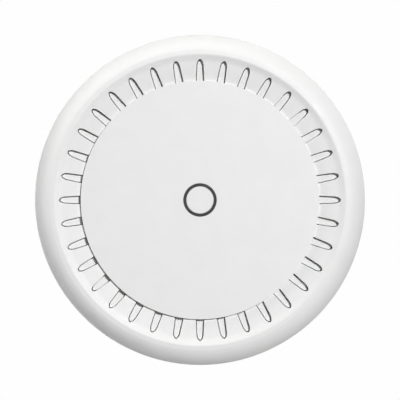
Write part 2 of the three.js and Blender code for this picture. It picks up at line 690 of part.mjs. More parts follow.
const SCREW_HEAD = { radius: 2.6, height: 1.9, recess: 1, armLength: 1.4, armHalf: 0.35 };

// A pan-head screw, head up, with a cross recess.
function screw(radius, angle, headLow, tip, shankRadius) {
  const headHigh = headLow + SCREW_HEAD.height;
  let body = turned([
    [0, tip], [shankRadius * 0.4, tip], [shankRadius, tip + 1.5], [shankRadius, headLow],
    [SCREW_HEAD.radius, headLow], [SCREW_HEAD.radius, headLow + 1], [SCREW_HEAD.radius - 1, headHigh],
    [0, headHigh],
  ], 12);
  const recessLow = headHigh - SCREW_HEAD.recess;
  const { armLength, armHalf } = SCREW_HEAD;
  body = body.subtract(block(-armLength, armLength, -armHalf, armHalf, recessLow, headHigh + 1));
  body = body.subtract(block(-armHalf, armHalf, -armLength, armLength, recessLow, headHigh + 1));
  const { x, y } = polar(radius, angle);
  return body.translate([x, y, 0]);
}

// ---------------------------------------------------------------- assembly

addPart('ceiling_plate', ceilingPlate(), 'greyPlastic');
addPart('rear_cover', rearCover(), 'whitePlastic');
addPart('front_cover', frontCover(), 'whitePlastic');
addPart('centre_disc', centreDisc(), 'whitePlastic');
addPart('vent_baffle', ventBaffle(), 'whitePlastic');
addPart('light_ring', lightRing(), 'smokedPlastic');

addPart('mode_button', modeButton(), 'whitePlastic');
addPart('mode_switch_body', modeSwitchBody(), 'blackPlastic');
addPart('mode_switch_plunger', modeSwitchPlunger(), 'blackPlastic');

addPart('main_board', mainBoard(), 'circuitBoard');
addPart('heat_spreader', heatSpreader(), 'aluminium');
const { x: cpuX, y: cpuY, size: cpuSize, height: cpuHeight } = PROCESSOR;
const cpuTop = ON_BACK + cpuHeight;
addPart('processor_chip', chip(cpuX, cpuY, cpuSize, cpuSize, cpuHeight), 'chipPackage');
addPart('processor_thermal_pad', thermalPad(cpuX, cpuY, cpuSize - 1, cpuTop + GAP), 'thermalPad');
for (const [i, { x, y }] of MEMORY_PLACES.entries()) {
  addPart(`memory_chip_${i + 1}`, chip(x, y, 10, 13, 1.1), 'chipPackage');
}
addPart('ethernet_magnetics', chip(0, -14, 24, 9, 4.3), 'blackPlastic');
addPart('power_inductor', chip(-24, -20, 10, 10, 4), 'chipPackage');
for (const [i, { x, y }] of RADIO_PLACES.entries()) {
  addPart(`radio_chip_${i + 1}`, chip(x, y, 9, 9, 0.9), 'chipPackage');
  addPart(`radio_shield_${i + 1}`, shieldCan(x, y), 'tinPlate');
  addPart(`radio_thermal_pad_${i + 1}`, thermalPad(x, y, 18, SHIELD.top + GAP), 'thermalPad');
}
for (const [i, { x, y }] of CAPACITOR_PLACES.entries()) {
  addPart(`power_capacitor_${i + 1}`, capacitor(x, y), 'aluminium');
}

for (const [i, x] of JACK_X.entries()) {
  addPart(`ethernet_jack_shell_${i + 1}`, jackShell(x), 'tinPlate');
  addPart(`ethernet_jack_body_${i + 1}`, jackBody(x), 'blackPlastic');
  addPart(`ethernet_jack_contacts_${i + 1}`, jackContacts(x), 'gold');
}

addPart('reset_button', resetButton(), 'blackPlastic');
addPart('reset_switch_body', resetSwitchBody(), 'blackPlastic');
addPart('reset_switch_plunger', resetSwitchPlunger(), 'blackPlastic');

for (const [i, angle] of LED.angles.entries()) {
  const { x, y } = polar(LED.radius, angle);
  const { half, low } = LED;
  addPart(`status_led_${i + 1}`, block(x - half, x + half, y - half, y + half, low, ON_FRONT), 'ledLens');
}
for (const [i, angle] of ANTENNA_ANGLES.entries()) {
  addPart(`antenna_${i + 1}`, antenna(angle), 'tinPlate');
  addPart(`antenna_lead_${i + 1}`, antennaLead(angle), 'cableJacket');
  addPart(`antenna_plug_${i + 1}`, leadPlug(angle), 'gold');
}
for (const [i, angle] of BOARD_SCREW_ANGLES.entries()) {
  const name = `board_screw_${i + 1}`;
  addPart(name, screw(BOARD_SCREW_RADIUS, angle, SPREADER_HIGH + GAP, -32, 1.2), 'steel');
}
for (const [i, angle] of CASE_SCREW_ANGLES.entries()) {
  addPart(`case_screw_${i + 1}`, screw(CASE_SCREW_RADIUS, angle, CASE_SEAT_Z + GAP, -24, 1.4), 'steel');
}

export default group;
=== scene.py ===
"""Looks of a ceiling access point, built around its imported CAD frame.

Lengths are written in millimetres and turned into metres where a mesh is made. The origin is the centre of
the ceiling plate's flat face, +Z points up into the ceiling, and the front of the unit looks down along -Z.
"""
import json
import math

import bmesh
import bpy
from mathutils import Matrix, Vector


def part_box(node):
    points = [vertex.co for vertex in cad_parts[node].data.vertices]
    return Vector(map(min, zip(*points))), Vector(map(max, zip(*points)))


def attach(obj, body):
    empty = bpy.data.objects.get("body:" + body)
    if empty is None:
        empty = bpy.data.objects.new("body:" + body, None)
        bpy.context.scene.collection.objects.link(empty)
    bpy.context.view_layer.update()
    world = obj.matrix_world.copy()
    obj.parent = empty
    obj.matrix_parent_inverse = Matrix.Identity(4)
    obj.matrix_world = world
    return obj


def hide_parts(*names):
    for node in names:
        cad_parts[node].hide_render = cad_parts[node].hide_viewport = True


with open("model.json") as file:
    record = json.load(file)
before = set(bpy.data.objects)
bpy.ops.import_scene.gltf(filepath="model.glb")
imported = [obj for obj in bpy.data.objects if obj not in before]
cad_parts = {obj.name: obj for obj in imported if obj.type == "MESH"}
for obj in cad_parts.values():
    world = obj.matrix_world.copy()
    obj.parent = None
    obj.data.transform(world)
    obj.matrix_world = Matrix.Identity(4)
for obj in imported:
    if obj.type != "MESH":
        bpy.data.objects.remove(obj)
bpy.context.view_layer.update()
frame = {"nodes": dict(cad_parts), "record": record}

MM = 0.001


def top(node):
    """Height of a CAD node's highest point, in millimetres."""
    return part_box(node)[1].z / MM


def bottom(node):
    """Height of a CAD node's lowest point, in millimetres."""
    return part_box(node)[0].z / MM


def radius_of(node):
    """Half of a round CAD node's width, in millimetres."""
    low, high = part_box(node)
    return (high.x - low.x) / 2 / MM


# ---------------------------------------------------------------- sizes, in millimetres

OUTER_RADIUS = radius_of("front_cover")
CREST_Z = bottom("front_cover")
DISC_RADIUS = radius_of("centre_disc")
DISC_FACE_Z = bottom("centre_disc")
DISH_Z = DISC_FACE_Z + 1.9          # flat inner part of the dish, above the disc's face
EQUATOR_Z = -31.5                   # height of the widest ring
WALL = 2.0
DISH_EDGE = 68.5                    # where the dish starts to fall, beside the disc's edge
COVE_CORNER = (80.0, -40.14)        # foot of the steeper step up to the crest
CREST_RADIUS = 83.75
CREST_ROUND = 2.0
CREST_START, CREST_END = 240.0, 277.5
SHOULDER = (86.0, -41.72)           # where the flank starts to fall away
FLANK_PULLS = ((91.1, -39.9), (95.5, -32.0))

SLOT_COUNT = 36
SLOT_START = 66.0
SLOT_END = 80.8
SLOT_END_LENGTH = 4.4               # the outer end is half an ellipse, this long
SLOT_END_HALF = 2.04                # and this half-width
SLOT_HALF_AT_START = 2.5
SLOT_EDGE = 0.22                    # radius of the slot's rounded edge
BAFFLE_Z = -34.9
BAFFLE_THICKNESS = 1.1
PAD_DEPTH = 1.75                    # from the dish's face up to the tongues, at the slots' inner ends
PAD_SLOPE = -0.12                   # the tongues' faces fall a little less than the dish does
PAD_GAP = 0.4
PAD_EDGE = 0.15
BAFFLE_INNER = 61
BAFFLE_STEP = 65.2
BAFFLE_OUTER = 84
BAFFLE_SEAT_OUTER = 64.4
BAFFLE_SEAT_Z = -35.4
BAFFLE_SEAT_BACK_Z = -34.4
SECTOR_INNER = 64.8
SECTOR_OUTER = 82.6

RING_OUTER = 9.5
RING_INNER = 7.87
RING_STEP_Z = -36.8
RING_FLANGE_RADIUS = 12.5
RING_FLANGE_LOW = -35.4
RING_FLANGE_HIGH = -34.2
RING_TUBE_INNER = 8.6
RING_TUBE_OUTER = 10.6
RING_TUBE_TOP = -25.8

CAP_GAP = 0.07                      # between the mode button and the light ring
CAP_BACK_Z = -36.5
CAP_FLANGE_RADIUS = 8.3
CAP_FLANGE_TOP = -35.3
CAP_STEM_RADIUS = 2.5

DISC_HOLE_GAP = 0.08                # between the disc and the light ring
DISC_LIFT = 0.12                    # between the disc's rim and the dish
DISC_HUB_RADIUS = 63.8
DISC_SEAT_RADIUS = 64.1
DISC_SEAT_DEPTH = 0.5
COVER_HOLE_GAP = 0.3

LIP_GAP = 0.22                      # from the seam to the front cover's edge
LIP_OUTER, LIP_INNER = 92.5, 91.4   # the tongue that centres the rear cover
LIP_RISE = 2.3
LIP_ROOT = 2.6
LIP_FOOT = 4

SEAM_Z = -18.5
SEAM_RADIUS = radius_of("rear_cover")
BACK_Z = top("rear_cover")
BACK_FLAT_RADIUS = 80.5
RECESS_RADIUS = 64.5
RECESS_Z = -6.5
PLATE_RADIUS = radius_of("ceiling_plate")
PLATE_THICKNESS = 2.5
PLATE_SKIRT_Z = -5.0
PLATE_SKIRT_WALL = 2

CASE_SCREW_RADIUS = 76.0
CASE_SCREW_ANGLES = (45, 135, 225, 315)
CASE_SEAT_Z = -9.5
BOARD_SCREW_RADIUS = 56.0
BOARD_SCREW_ANGLES = (20, 160, 230, 310)
HOOK_ANGLES = (30, 150, 270)
HOOK_MIDDLE = 50                    # radius through the middle of the hooks
TWIST_ANGLE = 12

FINE = 288                          # facets round the large pieces, 8 to a slot
SMALL_FINE = 128                    # facets round the light ring and the mode button


# ---------------------------------------------------------------- camera, light and floor

VIEW_WIDTH = 231.6                  # width of the picture at the object's middle
LENS = 135.0
SENSOR = 36.0

FLOOR_Z = -2.7                      # metres: the unit hangs at a room's height
FLOOR_HALF = 60.0                   # metres
WORLD_LIGHT = 0.01
KEY_POWER = 67.5                    # watts
KEY_SIZE = 0.22                     # metres
KEY_PLACE = (40, 30, 2.7)           # azimuth, degrees off the camera's line, metres away
PANEL_SIZE = 0.7                    # metres
PANEL_DISTANCE = 1.4                # metres
SOFT_OFF_AXIS = 62
EDGE_OFF_AXIS = 84
SOFT_POWERS = {180: 0.5, 225: 1.2}  # watts, by azimuth in the picture
EDGE_POWERS = {45: 0.5, 90: 3.8, 135: 7.6, 180: 4.6, 270: 4.9, 315: 1.8}
WARM = (1.0, 0.995, 0.965)
COOL = (0.98, 1.0, 1.0)
EDGE_TINTS = {90: WARM, 135: WARM, 180: COOL, 315: WARM}
SUN_SPREAD = 50                     # degrees
SUNS = (
    ("ceiling_sun", (-0.35, 0.25, 1.0), 2.2),
    ("ceiling_sun_opposite", (0.7, -0.5, 1.0), 0.8),
)


def aim(item, target):
    """Turns a camera or light at a point to face a target."""
    direction = Vector(target) - item.location
    item.rotation_mode = "QUATERNION"
    item.rotation_quaternion = direction.to_track_quat("-Z", "Y")


def make_camera():
    data = bpy.data.cameras.new("camera")
    data.lens = LENS
    data.sensor_width = SENSOR
    data.clip_start = 0.01
    camera = bpy.data.objects.new("camera", data)
    bpy.context.scene.collection.objects.link(camera)
    distance = VIEW_WIDTH * MM * LENS / SENSOR
    camera.location = (0, 0, EQUATOR_Z * MM - distance)
    camera.rotation_mode = "QUATERNION"
    facing_up = Matrix(((1, 0, 0), (0, -1, 0), (0, 0, -1)))   # right is +X, up in the picture is -Y
    camera.rotation_quaternion = facing_up.to_quaternion()
    bpy.context.scene.camera = camera


def area_light(name, location, size, power, colour=(1, 1, 1)):
    data = bpy.data.lights.new(name, "AREA")
    data.shape = "DISK"
    data.size = size
    data.energy = power
    data.color = colour
    light = bpy.data.objects.new(name, data)
    bpy.context.scene.collection.objects.link(light)
    light.location = location
    aim(light, (0, 0, EQUATOR_Z * MM))


def make_world():
    """A white studio: pure white where the camera looks past the object, a soft grey as light."""
    world = bpy.data.worlds.new("studio")
    world.use_nodes = True
    nodes, links = world.node_tree.nodes, world.node_tree.links
    nodes.clear()
    output = nodes.new("ShaderNodeOutputWorld")
    mix = nodes.new("ShaderNodeMixShader")
    seen = nodes.new("ShaderNodeBackground")
    seen.inputs["Color"].default_value = (0.99, 0.99, 0.99, 1)
    light = nodes.new("ShaderNodeBackground")
    light.inputs["Color"].default_value = (1, 1, 1, 1)
    light.inputs["Strength"].default_value = WORLD_LIGHT
    path = nodes.new("ShaderNodeLightPath")
    links.new(path.outputs["Is Camera Ray"], mix.inputs["Fac"])
    links.new(light.outputs["Background"], mix.inputs[1])
    links.new(seen.outputs["Background"], mix.inputs[2])
    links.new(mix.outputs["Shader"], output.inputs["Surface"])
    bpy.context.scene.world = world


def sun_light(name, towards, strength):
    """Wide, soft light from far away, for the side that faces the ceiling."""
    data = bpy.data.lights.new(name, "SUN")
    data.energy = strength
    data.angle = math.radians(SUN_SPREAD)
    light = bpy.data.objects.new(name, data)
    bpy.context.scene.collection.objects.link(light)
    light.location = towards
    aim(light, (0, 0, 0))


def below(azimuth, off_axis, distance):
    """A place below the unit, by azimuth from the picture's right side and angle off the camera's line."""
    turn, lean = math.radians(azimuth), math.radians(off_axis)
    sideways = distance * math.sin(lean)
    return (sideways * math.cos(turn), -sideways * math.sin(turn), -distance * math.cos(lean))


def make_studio():
    make_camera()
    make_world()
    area_light("key_light", below(*KEY_PLACE), KEY_SIZE, KEY_POWER)
    for azimuth, power in SOFT_POWERS.items():
        area_light(f"soft_light_{azimuth}", below(azimuth, SOFT_OFF_AXIS, PANEL_DISTANCE), PANEL_SIZE, power)
    for azimuth, power in EDGE_POWERS.items():
        location = below(azimuth, EDGE_OFF_AXIS, PANEL_DISTANCE)
        area_light(f"edge_light_{azimuth}", location, PANEL_SIZE, power, EDGE_TINTS.get(azimuth, (1, 1, 1)))
    for name, towards, strength in SUNS:
        sun_light(name, towards, strength)
    bpy.context.scene.view_settings.view_transform = "Standard"
    floor_mesh = bpy.data.meshes.new("floor")
    half = FLOOR_HALF
    corners = [(-half, -half, 0), (half, -half, 0), (half, half, 0), (-half, half, 0)]
    floor_mesh.from_pydata(corners, [], [(0, 1, 2, 3)])
    floor = bpy.data.objects.new("floor", floor_mesh)
    floor.location.z = FLOOR_Z
    floor.visible_diffuse = False   # seen, but doesn't light the unit from below
    bpy.context.scene.collection.objects.link(floor)
    floor.data.materials.append(moulded("floor_paint", (0.93, 0.93, 0.93), 0.7, grain=2.0, depth=0.02))


# ---------------------------------------------------------------- materials

CLOUD_SIZE = 14.0                   # millimetres across, for each kind of unevenness
SPECK_SIZE = 0.9
GLOSS_SIZE = 5.0
SINK_SIZE = 9.0
STAIN_SIZE = 4.0
TARNISH_SIZE = 2.0
SCRATCH_DEPTH = 0.004
METAL_WEAR = 1.15
TRACKS_PER_METRE = 110


class Looks:
    """Small builder for one material's nodes around a Principled shader."""

    def __init__(self, name):
        self.material = bpy.data.materials.new(name)
        self.material.use_nodes = True
        self.nodes = self.material.node_tree.nodes
        self.links = self.material.node_tree.links
        self.shader = next(n for n in self.nodes if n.type == "BSDF_PRINCIPLED")
        self.coordinate = self.nodes.new("ShaderNodeTexCoord").outputs["Object"]
        self.normal = None

    def set(self, **values):
        for name, value in values.items():
            self.shader.inputs[name.replace("_", " ")].default_value = value
        return self

    def noise(self, size, detail=3.0, stretch=(1, 1, 1)):
        """Noise whose features are about size millimetres across."""
        mapping = self.nodes.new("ShaderNodeMapping")
        mapping.inputs["Scale"].default_value = [1 / (size * MM) * s for s in stretch]
        self.links.new(self.coordinate, mapping.inputs["Vector"])
        texture = self.nodes.new("ShaderNodeTexNoise")
        texture.inputs["Scale"].default_value = 1.0
        texture.inputs["Detail"].default_value = detail
        texture.inputs["Roughness"].default_value = 0.55
        self.links.new(mapping.outputs["Vector"], texture.inputs["Vector"])
        return texture.outputs["Fac"]

    def ramp(self, value, low, high, from_low=0.35, from_high=0.65):
        node = self.nodes.new("ShaderNodeMapRange")
        node.inputs["From Min"].default_value = from_low
        node.inputs["From Max"].default_value = from_high
        node.inputs["To Min"].default_value = low
        node.inputs["To Max"].default_value = high
        self.links.new(value, node.inputs["Value"])
        return node.outputs["Result"]

    def mix(self, factor, first, second):
        node = self.nodes.new("ShaderNodeMix")
        node.data_type = "RGBA"
        self.links.new(factor, node.inputs["Factor"])
        for socket, value in ((node.inputs["A"], first), (node.inputs["B"], second)):
            if isinstance(value, tuple):
                socket.default_value = (*value, 1)
            else:
                self.links.new(value, socket)
        return node.outputs["Result"]

    def bump(self, height, depth):
        """Adds relief of about depth millimetres to the normal."""
        node = self.nodes.new("ShaderNodeBump")
        node.inputs["Strength"].default_value = 1.0
        node.inputs["Distance"].default_value = depth * MM
        self.links.new(height, node.inputs["Height"])
        if self.normal is not None:
            self.links.new(self.normal, node.inputs["Normal"])
        self.normal = node.outputs["Normal"]
        return self

    def edges(self):
        """1 along outer edges, 0 on flat and hollow places."""
        pointiness = self.nodes.new("ShaderNodeNewGeometry").outputs["Pointiness"]
        return self.ramp(pointiness, 0.0, 1.0, 0.52, 0.62)

    def done(self, colour, roughness):
        self.links.new(colour, self.shader.inputs["Base Color"])
        self.links.new(roughness, self.shader.inputs["Roughness"])
        if self.normal is not None:
            self.links.new(self.normal, self.shader.inputs["Normal"])
        return self.material


def shade(colour, factor):
    return tuple(min(1.0, c * factor) for c in colour)


def moulded(name, colour, roughness, grain=0.3, depth=0.012, mottle=0.012, wear=1.04, coat=0.0):
    """Moulded plastic: fine tool texture, slight cloudiness and slightly polished edges."""
    looks = Looks(name).set(Metallic=0.0, Coat_Weight=coat, Coat_Roughness=0.12)
    cloud_share = looks.ramp(looks.noise(CLOUD_SIZE), 0, 1)
    cloud = looks.mix(cloud_share, shade(colour, 1 - mottle), shade(colour, 1 + mottle))
    speck_share = looks.ramp(looks.noise(SPECK_SIZE, detail=5), 0, 0.5)
    speck = looks.mix(speck_share, cloud, shade(colour, 1 - 1.5 * mottle))
    worn = looks.mix(looks.edges(), speck, shade(colour, wear))
    rough = looks.ramp(looks.noise(GLOSS_SIZE, detail=4), roughness * 0.9, roughness * 1.1)
    looks.bump(looks.noise(grain, detail=2), depth)
    looks.bump(looks.noise(SINK_SIZE, detail=1), depth * 1.5)
    return looks.done(worn, rough)


def metal(name, colour, roughness, stretch=(1, 14, 1), grain=0.25):
    """Plated or rolled metal with drawn scratches and brighter edges."""
    looks = Looks(name).set(Metallic=1.0)
    drawn = looks.noise(grain, detail=4, stretch=stretch)
    cloud = looks.mix(looks.ramp(looks.noise(STAIN_SIZE), 0, 1), shade(colour, 0.9), shade(colour, 1.06))
    streaks = looks.mix(looks.ramp(drawn, 0, 0.35), cloud, shade(colour, 0.82))
    worn = looks.mix(looks.edges(), streaks, shade(colour, METAL_WEAR))
    looks.bump(drawn, SCRATCH_DEPTH)
    rough = looks.ramp(looks.noise(TARNISH_SIZE, detail=5), roughness * 0.8, roughness * 1.35)
    return looks.done(worn, rough)


def board_mask(name):
    """Solder mask over copper tracks: a lacquered green with slightly raised, lighter lines."""
    looks = Looks(name).set(Metallic=0.0, Coat_Weight=0.4, Coat_Roughness=0.2)
    tracks = looks.nodes.new("ShaderNodeTexBrick")
    mapping = looks.nodes.new("ShaderNodeMapping")
    mapping.inputs["Scale"].default_value = (TRACKS_PER_METRE,) * 3
    looks.links.new(looks.coordinate, mapping.inputs["Vector"])
    looks.links.new(mapping.outputs["Vector"], tracks.inputs["Vector"])
    tracks.inputs["Scale"].default_value = 1.0
    tracks.inputs["Mortar Size"].default_value = 0.03
    looks.bump(tracks.outputs["Fac"], 0.02)
    body = looks.mix(looks.ramp(looks.noise(3.0), 0, 1), (0.010, 0.070, 0.035), (0.014, 0.095, 0.048))
    colour = looks.mix(tracks.outputs["Fac"], body, (0.03, 0.17, 0.09))
    return looks.done(colour, looks.ramp(looks.noise(1.0), 0.38, 0.52))


WHITE = (0.79, 0.795, 0.79)


def make_materials():
    return {
        "white_plastic": moulded("white_plastic", WHITE, 0.56),
        "disc_plastic": moulded("disc_plastic", shade(WHITE, 0.995), 0.56, grain=0.25, depth=0.008),
        "grey_plastic": moulded("grey_plastic", (0.74, 0.745, 0.75), 0.55, grain=0.45, depth=0.02),
        "smoked_plastic": moulded("smoked_plastic", (0.021, 0.021, 0.022), 0.3, depth=0.004, mottle=0.08,
                                  wear=1.6),
        "black_plastic": moulded("black_plastic", (0.022, 0.022, 0.024), 0.5, mottle=0.1, wear=2.0),
        "circuit_board": board_mask("circuit_board"),
        "chip_package": moulded("chip_package", (0.028, 0.028, 0.030), 0.6, grain=0.12, mottle=0.12,
                                wear=1.8),
        "thermal_pad": moulded("thermal_pad", (0.30, 0.37, 0.45), 0.85, grain=0.8, depth=0.05, mottle=0.05),
        "aluminium": metal("aluminium", (0.72, 0.73, 0.75), 0.36),
        "tin_plate": metal("tin_plate", (0.70, 0.71, 0.72), 0.28, stretch=(1, 1, 10)),
        "gold_plate": metal("gold_plate", (0.83, 0.62, 0.26), 0.25, stretch=(1, 1, 1)),
        "screw_steel": metal("screw_steel", (0.50, 0.51, 0.53), 0.33, stretch=(1, 1, 1), grain=0.4),
        "led_lens": moulded("led_lens", (0.82, 0.81, 0.74), 0.25, depth=0.004, coat=0.4),
        "cable_jacket": moulded("cable_jacket", (0.032, 0.032, 0.034), 0.6, grain=0.5, mottle=0.1),
    }


# ---------------------------------------------------------------- outlines

def spot(radius, degrees):
    """A place on a circle about the middle."""
    return radius * math.cos(math.radians(degrees)), radius * math.sin(math.radians(degrees))


def bezier(a, b, c, d, steps):
    """Points along a cubic curve, both ends included."""
    points = []
    for i in range(steps + 1):
        t = i / steps
        s = 1 - t
        weights = (s * s * s, 3 * s * s * t, 3 * s * t * t, t * t * t)
        points.append(tuple(sum(w * p[k] for w, p in zip(weights, (a, b, c, d))) for k in (0, 1)))
    return points


def ellipse(centre, radius_x, radius_y, start, end, steps):
    points = []
    for i in range(steps + 1):
        angle = math.radians(start + (end - start) * i / steps)
        points.append((centre[0] + radius_x * math.cos(angle), centre[1] + radius_y * math.sin(angle)))
    return points


def rounded(corners, steps=5):
    """A polyline with its corners rounded: each corner is (x, y) or (x, y, radius)."""
    points = []
    last = len(corners) - 1
    for i, corner in enumerate(corners):
        here = Vector(corner[:2])
        if len(corner) < 3 or i in (0, last):
            points.append(tuple(here))
            continue
        back = (Vector(corners[i - 1][:2]) - here).normalized()
        ahead = (Vector(corners[i + 1][:2]) - here).normalized()
        half_angle = back.angle(ahead) / 2
        reach = corner[2] / math.tan(half_angle)
        centre = here + (back + ahead).normalized() * corner[2] / math.sin(half_angle)
        start = here + back * reach - centre
        end = here + ahead * reach - centre
        turn = start.angle_signed(end)
        for k in range(steps + 1):
            spoke = start.copy()
            spoke.rotate(Matrix.Rotation(-turn * k / steps, 2))
            points.append(tuple(centre + spoke))
    return points


def loop(corners):
    """A closed outline with rounded corners, each given as (x, y, radius)."""
    return rounded([corners[-1], *corners, corners[0]])[1:-1]


def rectangle(x0, x1, y0, y1, radius):
    return loop([(x0, y0, radius), (x1, y0, radius), (x1, y1, radius), (x0, y1, radius)])


def circle(x, y, radius):
    steps = 32
    return ellipse((x, y), radius, radius, 0, 360 - 360 / steps, steps - 1)


def bent_loop(corners, middle_radius):
    """A closed outline drawn as (degrees, radius, corner radius) about the origin."""
    flat = loop([(math.radians(angle) * middle_radius, radius, fillet)
                 for angle, radius, fillet in corners])
    flat = braced(flat + flat[:1], 0.3, 1.0)[:-1]
    return [(r * math.cos(u / middle_radius), r * math.sin(u / middle_radius)) for u, r in flat]


def signed_area(outline):
    return sum(a[0] * b[1] - b[0] * a[1] for a, b in zip(outline, outline[1:] + outline[:1])) / 2


def grown(outline, distance):
    """A closed outline moved outwards by a distance."""
    if signed_area(outline) > 0:
        distance = -distance
    moved = []
    for i, point in enumerate(outline):
        before, after = outline[i - 1], outline[(i + 1) % len(outline)]
        along = Vector((after[0] - before[0], after[1] - before[1])).normalized()
        moved.append((point[0] - along.y * distance, point[1] + along.x * distance))
    return moved


def blended(first, second, share):
    return [(a[0] + (b[0] - a[0]) * share, a[1] + (b[1] - a[1]) * share) for a, b in zip(first, second)]


def offset_line(points, distance):
    """An open line moved to its left by a distance."""
    moved = []
    for i, point in enumerate(points):
        before, after = points[max(i - 1, 0)], points[min(i + 1, len(points) - 1)]
        along = Vector((after[0] - before[0], after[1] - before[1])).normalized()
        moved.append((point[0] - along.y * distance, point[1] + along.x * distance))
    return moved


def braced(outline, brace=0.4, spacing=6.0):
    """Adds points beside the ends of long straight stretches and evenly between them."""
    points = [outline[0]]
    for a, b in zip(outline, outline[1:]):
        start, end = Vector(a), Vector(b)
        length = (end - start).length
        if length > 3 * brace:
            count = max(1, round((length - 2 * brace) / spacing))
            for i in range(count + 1):
                along = brace + (length - 2 * brace) * i / count
                points.append(tuple(start.lerp(end, along / length)))
        points.append(b)
    return points


def face_outline():
    """The front face from under the disc, down the dish and over the crest to the widest ring."""
    crest_centre = (CREST_RADIUS, CREST_Z + CREST_ROUND)
    crest = ellipse(crest_centre, CREST_ROUND, CREST_ROUND, CREST_START, CREST_END, 14)
    flank = bezier(SHOULDER, *FLANK_PULLS, (OUTER_RADIUS, EQUATOR_Z), 30)
    dish = rounded([(SECTOR_INNER, DISH_Z), (DISH_EDGE, DISH_Z, 6), (*COVE_CORNER, 4), crest[0]], 14)
    shoulder = rounded([crest[-1], (*SHOULDER, 3), flank[1]], 6)
    return dish + crest[1:] + shoulder[1:-1] + flank[1:]


FACE = face_outline()


def dish_height(radius):
    """Height of the front cover's face at a radius."""
    for (r0, z0), (r1, z1) in zip(FACE, FACE[1:]):
        if radius <= r1:
            return z0 + (z1 - z0) * max(0.0, radius - r0) / (r1 - r0)
    return FACE[-1][1]


# ---------------------------------------------------------------- mesh building

def add_point(bm, x, y, z):
    return bm.verts.new((x * MM, y * MM, z * MM))


def join_rows(bm, first, second, closed):
    """Quads between two rows of corners."""
    count = len(first)
    for i in range(count if closed else count - 1):
        j = (i + 1) % count
        corners = [first[i], first[j], second[j], second[i]]
        distinct = [c for k, c in enumerate(corners) if c is not corners[k - 1]]
        if len(distinct) > 2:
            bm.faces.new(distinct)


def turn_outline(bm, outline, segments=FINE, closed=False):
    """Adds a surface of revolution about Z. A point on the axis becomes one corner."""
    rows = []
    for radius, z in braced(outline + outline[:1] if closed else outline)[:-1 if closed else None]:
        if radius < 1e-6:
            rows.append([add_point(bm, 0, 0, z)] * segments)
            continue
        row = []
        for i in range(segments):
            angle = 2 * math.pi * i / segments
            row.append(add_point(bm, radius * math.cos(angle), radius * math.sin(angle), z))
        rows.append(row)
    if closed:
        rows.append(rows[0])
    for first, second in zip(rows, rows[1:]):
        join_rows(bm, first, second, True)
    return bm


def solid_piece(bm, name):
    """Turns a bmesh into an object with outward faces."""
    bmesh.ops.remove_doubles(bm, verts=bm.verts, dist=1e-6)
    bmesh.ops.recalc_face_normals(bm, faces=bm.faces)
    mesh = bpy.data.meshes.new(name)
    bm.to_mesh(mesh)
    bm.free()
    piece = bpy.data.objects.new(name, mesh)
    bpy.context.scene.collection.objects.link(piece)
    return piece


def smoothed(piece, sharp_angle=45):
    """Smooth shading up to an angle, with large flat faces keeping their own direction."""
    piece.data.shade_smooth()
    piece.data.set_sharp_from_angle(angle=math.radians(sharp_angle))
    normals = piece.modifiers.new("flat_faces_first", "WEIGHTED_NORMAL")
    normals.weight = 100
    normals.keep_sharp = True
    return piece


def finished(bm, name):
    return smoothed(solid_piece(bm, name))


def combine(piece, tool, operation):
    """Cuts a tool out of a piece, or joins it on, and removes the tool."""
    modifier = piece.modifiers.new("combine", "BOOLEAN")
    modifier.operation = operation
    modifier.solver = "EXACT"
    modifier.object = tool
    depsgraph = bpy.context.evaluated_depsgraph_get()
    mesh = bpy.data.meshes.new_from_object(piece.evaluated_get(depsgraph))
    piece.modifiers.clear()
    piece.data = mesh
    bpy.data.objects.remove(tool)
    return piece


def layered(bm, layers):
    """A closed solid through rows of corners: each layer is (outline, z), capped at both ends."""
    rows = [[add_point(bm, x, y, z) for x, y in outline] for outline, z in layers]
    for first, second in zip(rows, rows[1:]):
        join_rows(bm, first, second, True)
    bm.faces.new(rows[0])
    bm.faces.new(rows[-1])
    return bm


def straight_cutter(outline, low, high):
    """A plain prism between two heights."""
    return solid_piece(layered(bmesh.new(), [(outline, low), (outline, high)]), "tool")


def hole_cutter(outline, low, high, ease=0.3):
    """A prism that cuts right through between two heights and eases the edge at both faces."""
    wide = grown(outline, ease)
    return solid_piece(layered(bmesh.new(), [
        (wide, high + 1), (wide, high), (outline, high - ease),
        (outline, low + ease), (wide, low), (wide, low - 1),
    ]), "tool")


def pocket_cutter(outline, floor, high, ease=0.3, fillet=0.3):
    """A prism that cuts a pocket with an eased mouth and a rounded floor edge."""
    wide = grown(outline, ease)
    layers = [(wide, high + 1), (wide, high), (outline, high - ease), (outline, floor + fillet)]
    for step in (1, 2, 3):
        turn = math.radians(30 * step)
        inner = grown(outline, -fillet * (1 - math.cos(turn)))
        layers.append((inner, floor + fillet * (1 - math.sin(turn))))
    return solid_piece(layered(bmesh.new(), layers), "tool")


def bar(outline, low, high, ease=0.3):
    """A prism with rounded ends, to be joined on."""
    layers = []
    for step in (3, 2, 1, 0):
        turn = math.radians(30 * step)
        inner = grown(outline, -ease * (1 - math.cos(turn)))
        layers.append((inner, low + ease * (1 - math.sin(turn))))
    layers += [(inner, high + low - z) for inner, z in reversed(layers)]
    return solid_piece(layered(bmesh.new(), layers), "tool")


def place(piece, body, slot, material, *nodes):
    """Gives a new piece its material, its body and the CAD nodes it stands for."""
    piece.data.materials.clear()
    piece.data.materials.append(material)
    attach(piece, body)
    if nodes:
        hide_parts(*nodes)
    return piece


# ---------------------------------------------------------------- front cover

SIDE_STEPS = 18                     # along each long side of a slot
FLANK_STEPS = 6                     # from the slot's round end to the sector's corner
ACROSS_STEPS = FINE // SLOT_COUNT   # across a sector
HALF_SECTOR = math.pi / SLOT_COUNT


def slot_half_width(radius):
    centre = SLOT_END - SLOT_END_LENGTH
    share = (radius - SLOT_START) / (centre - SLOT_START)
    return SLOT_HALF_AT_START + (SLOT_END_HALF - SLOT_HALF_AT_START) * share


